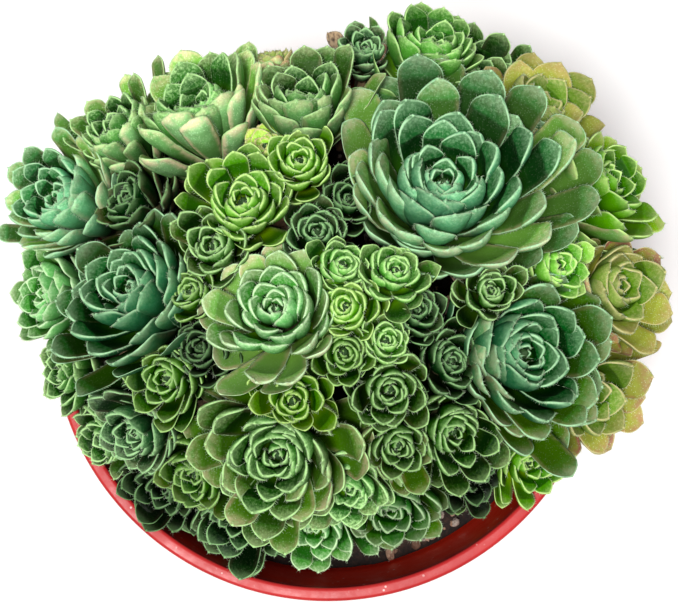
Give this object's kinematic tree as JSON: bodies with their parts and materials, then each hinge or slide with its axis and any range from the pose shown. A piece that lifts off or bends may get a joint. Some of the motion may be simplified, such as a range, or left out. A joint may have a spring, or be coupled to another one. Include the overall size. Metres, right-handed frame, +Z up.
{
  "type": "potted rosularia",
  "caption": "Domed cushion of crowded succulent rosettes in a round tapered plastic pot with a stepped collar, plain lip, soil fill and drain holes.",
  "frame": {"origin": "centre of the pot's flat base, on the surface it stands on", "axes": "+Z up along the pot's axis; -Y towards the side where the pot's inner wall and soil show bare; +X to the right from there"},
  "size_m": [0.1592, 0.1443, 0.165],
  "materials": {
    "red_plastic": "smooth moulded plastic with a soft gloss",
    "potting_soil": "dark crumbly potting soil with tan grit",
    "leaf_deep": "dark blue-green fleshy leaf with a frosted bloom and pale hairy margins",
    "leaf_dark": "shaded dark green fleshy leaf with pale hairy margins",
    "leaf_bluish": "grey-green fleshy leaf with a frosted bloom and pale hairy margins",
    "leaf_green": "mid-green fleshy leaf with pale hairy margins",
    "leaf_fresh": "fresh green fleshy leaf with pale hairy margins",
    "leaf_lime": "yellow-green young fleshy leaf with pale hairy margins",
    "leaf_olive": "olive leaf with reddish-brown margins and a yellow base",
    "leaf_dry": "dry papery tan leaf"
  },
  "bodies": {
    "root": {"pot": "red_plastic", "soil": "potting_soil", "rosette_01": "leaf_deep", "rosette_02": "leaf_bluish", "rosette_03": "leaf_lime", "rosette_04": "leaf_green", "rosette_05": "leaf_fresh", "rosette_06": "leaf_green", "rosette_07": "leaf_lime", "rosette_08": "leaf_deep", "rosette_09": "leaf_dark", "rosette_10": "leaf_fresh", "rosette_11": "leaf_green", "rosette_12": "leaf_fresh", "rosette_13": "leaf_green", "rosette_14": "leaf_lime", "rosette_15": "leaf_fresh", "rosette_16": "leaf_fresh", "rosette_17": "leaf_deep", "rosette_18": "leaf_deep", "rosette_19": "leaf_green", "rosette_20": "leaf_green", "rosette_21": "leaf_lime", "rosette_22": "leaf_dark", "rosette_23": "leaf_fresh", "rosette_24": "leaf_lime", "rosette_25": "leaf_green", "rosette_26": "leaf_green", "rosette_27": "leaf_dark", "rosette_28": "leaf_dark", "rosette_29": "leaf_fresh", "rosette_30": "leaf_dark", "rosette_31": "leaf_green", "rosette_32": "leaf_green", "rosette_33": "leaf_bluish", "rosette_34": "leaf_green", "rosette_35": "leaf_dark", "rosette_36": "leaf_lime", "rosette_37": "leaf_dark", "rosette_38": "leaf_dark", "rosette_39": "leaf_dark", "rosette_40": "leaf_dark", "rosette_41": "leaf_olive", "rosette_42": "leaf_olive", "rosette_43": "leaf_dry", "rosette_44": "leaf_lime", "rosette_45": "leaf_bluish", "rosette_46": "leaf_fresh", "rosette_47": "leaf_green", "rosette_48": "leaf_dark", "rosette_49": "leaf_olive", "rosette_50": "leaf_olive", "rosette_51": "leaf_olive", "rosette_52": "leaf_green", "rosette_53": "leaf_dark", "rosette_54": "leaf_bluish", "rosette_55": "leaf_green", "rosette_56": "leaf_green", "rosette_57": "leaf_fresh", "rosette_58": "leaf_green"}
  },
  "joints": []
}
